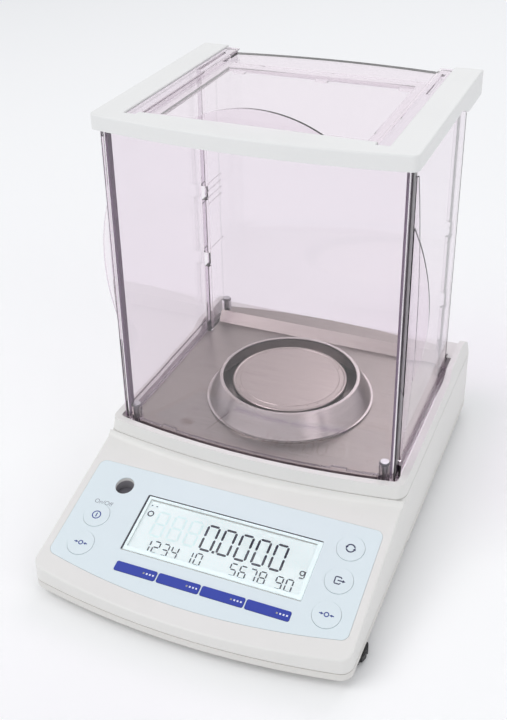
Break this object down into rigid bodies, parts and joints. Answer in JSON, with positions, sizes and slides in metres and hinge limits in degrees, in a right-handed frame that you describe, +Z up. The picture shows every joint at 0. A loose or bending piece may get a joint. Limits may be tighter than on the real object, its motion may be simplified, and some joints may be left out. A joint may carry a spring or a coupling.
{
  "type": "laboratory balance",
  "caption": "Precision balance with a round pan, a windbreak ring, a sloping keypad with a display, and a tall clear draft shield with sliding doors.",
  "frame": {"origin": "on the table, under the middle of the outline", "axes": "+X to the right of the person weighing, +Y away from that person, +Z up"},
  "size_m": [0.223, 0.324, 0.3027],
  "materials": {
    "housing_plastic": "fine textured",
    "cap_plastic": "fine textured",
    "tray_plastic": "fine textured",
    "clear_plastic": "clear polished",
    "display_pane": "clear polished",
    "overlay_film": "satin film",
    "key_plastic": "satin film",
    "soft_key_plastic": "satin film",
    "brushed_sheet": "brushed",
    "turned_steel": "turned",
    "cast_aluminium": "as cast",
    "milled_aluminium": "milled",
    "turned_brass": "turned",
    "black_plastic": "moulded",
    "circuit_board": "solder mask",
    "seal_rubber": "extruded",
    "foot_rubber": "moulded",
    "vial_glass": "polished",
    "display_cell": "smooth"
  },
  "bodies": {
    "base": {"base_casting": "cast_aluminium", "board_chips": "black_plastic", "board_screws": "turned_steel", "calibration_arm": "milled_aluminium", "calibration_motor": "turned_steel", "casting_screws": "turned_steel", "dc_jack": "black_plastic", "display_board": "circuit_board", "floor_plate": "brushed_sheet", "foot_bushes": "turned_brass", "front_panel": "clear_plastic", "hook_cover": "black_plastic", "key_switches": "black_plastic", "keypad_overlay": "overlay_film", "lcd_module": "display_cell", "lcd_window": "display_pane", "left_seal": "seal_rubber", "left_track": "black_plastic", "level_cup": "black_plastic", "level_vial": "vial_glass", "load_shaft": "turned_steel", "lower_tray": "tray_plastic", "main_board": "circuit_board", "motor_bracket": "black_plastic", "rear_feet": "foot_rubber", "rear_shell": "clear_plastic", "right_seal": "seal_rubber", "right_track": "black_plastic", "sensor_block": "milled_aluminium", "serial_port": "black_plastic", "shield_screws": "turned_steel", "top_cap": "cap_plastic", "top_frame": "clear_plastic", "tray_screws": "turned_steel", "tuning_fork": "turned_steel", "upper_housing": "housing_plastic"},
    "left_side_door": {"left_door": "clear_plastic"},
    "right_side_door": {"right_door": "clear_plastic"},
    "sliding_top_door": {"top_door": "clear_plastic"},
    "support": {"pan_support": "milled_aluminium"},
    "pan": {"weighing_pan": "brushed_sheet"},
    "ring": {"windbreak_ring": "brushed_sheet"},
    "left_levelling_foot": {"left_foot_knob": "black_plastic", "left_foot_stem": "turned_steel"},
    "right_levelling_foot": {"right_foot_knob": "black_plastic", "right_foot_stem": "turned_steel"},
    "lifting_screw": {"lift_screw": "turned_steel"},
    "weight_carrier": {"weight_lifter": "black_plastic", "calibration_weight": "turned_steel"},
    "on_off_key_button": {"on_off_key": "key_plastic"},
    "left_zero_key_button": {"left_zero_key": "key_plastic"},
    "right_zero_key_button": {"right_zero_key": "key_plastic"},
    "menu_key_button": {"menu_key": "key_plastic"},
    "output_key_button": {"output_key": "key_plastic"},
    "soft_key_1_button": {"soft_key_1": "soft_key_plastic"},
    "soft_key_2_button": {"soft_key_2": "soft_key_plastic"},
    "soft_key_3_button": {"soft_key_3": "soft_key_plastic"},
    "soft_key_4_button": {"soft_key_4": "soft_key_plastic"}
  },
  "joints": [
    {"name": "left_door_slide", "type": "slide", "parent": "base", "child": "left_side_door", "axis": [0, 1, 0], "range_m": [0, 0.095]},
    {"name": "right_door_slide", "type": "slide", "parent": "base", "child": "right_side_door", "axis": [0, 1, 0], "range_m": [0, 0.095]},
    {"name": "top_door_slide", "type": "slide", "parent": "base", "child": "sliding_top_door", "axis": [0, 1, 0], "range_m": [0, 0.085]},
    {"name": "pan_support_lift", "type": "slide", "parent": "base", "child": "support", "axis": [0, 0, 1], "range_m": [0, 0.015]},
    {"name": "pan_lift", "type": "slide", "parent": "support", "child": "pan", "axis": [0, 0, 1], "range_m": [0, 0.025]},
    {"name": "ring_lift", "type": "slide", "parent": "base", "child": "ring", "axis": [0, 0, 1], "range_m": [0, 0.06]},
    {"name": "left_foot_turn", "type": "hinge", "parent": "base", "child": "left_levelling_foot", "pos_m": [-0.0955, -0.123, 0.004], "axis": [0, 0, 1], "range_deg": [-720, 720]},
    {"name": "right_foot_turn", "type": "hinge", "parent": "base", "child": "right_levelling_foot", "pos_m": [0.0955, -0.123, 0.004], "axis": [0, 0, 1], "range_deg": [-720, 720]},
    {"name": "lift_screw_turn", "type": "hinge", "parent": "base", "child": "lifting_screw", "pos_m": [-0.038, 0.002, 0.03], "axis": [0, 0, 1], "range_deg": [-360, 0]},
    {"name": "weight_lift", "type": "slide", "parent": "base", "child": "weight_carrier", "axis": [0, 0, 1], "range_m": [-0.004, 0]},
    {"name": "on_off_key_press", "type": "slide", "parent": "base", "child": "on_off_key_button", "axis": [0, 0.2689, -0.9632], "range_m": [0, 0.0005], "stiffness_N_per_m": 800, "springref_m": -0.0006},
    {"name": "left_zero_key_press", "type": "slide", "parent": "base", "child": "left_zero_key_button", "axis": [0, 0.2689, -0.9632], "range_m": [0, 0.0005], "stiffness_N_per_m": 800, "springref_m": -0.0006},
    {"name": "right_zero_key_press", "type": "slide", "parent": "base", "child": "right_zero_key_button", "axis": [0, 0.2689, -0.9632], "range_m": [0, 0.0005], "stiffness_N_per_m": 800, "springref_m": -0.0006},
    {"name": "menu_key_press", "type": "slide", "parent": "base", "child": "menu_key_button", "axis": [0, 0.2689, -0.9632], "range_m": [0, 0.0005], "stiffness_N_per_m": 800, "springref_m": -0.0006},
    {"name": "output_key_press", "type": "slide", "parent": "base", "child": "output_key_button", "axis": [0, 0.2689, -0.9632], "range_m": [0, 0.0005], "stiffness_N_per_m": 800, "springref_m": -0.0006},
    {"name": "soft_key_1_press", "type": "slide", "parent": "base", "child": "soft_key_1_button", "axis": [0, 0.2689, -0.9632], "range_m": [0, 0.0005], "stiffness_N_per_m": 800, "springref_m": -0.0006},
    {"name": "soft_key_2_press", "type": "slide", "parent": "base", "child": "soft_key_2_button", "axis": [0, 0.2689, -0.9632], "range_m": [0, 0.0005], "stiffness_N_per_m": 800, "springref_m": -0.0006},
    {"name": "soft_key_3_press", "type": "slide", "parent": "base", "child": "soft_key_3_button", "axis": [0, 0.2689, -0.9632], "range_m": [0, 0.0005], "stiffness_N_per_m": 800, "springref_m": -0.0006},
    {"name": "soft_key_4_press", "type": "slide", "parent": "base", "child": "soft_key_4_button", "axis": [0, 0.2689, -0.9632], "range_m": [0, 0.0005], "stiffness_N_per_m": 800, "springref_m": -0.0006}
  ],
  "couplings": [
    {"joint": "lift_screw_turn", "follows": "weight_lift", "rad_per_m": 1570.8}
  ]
}
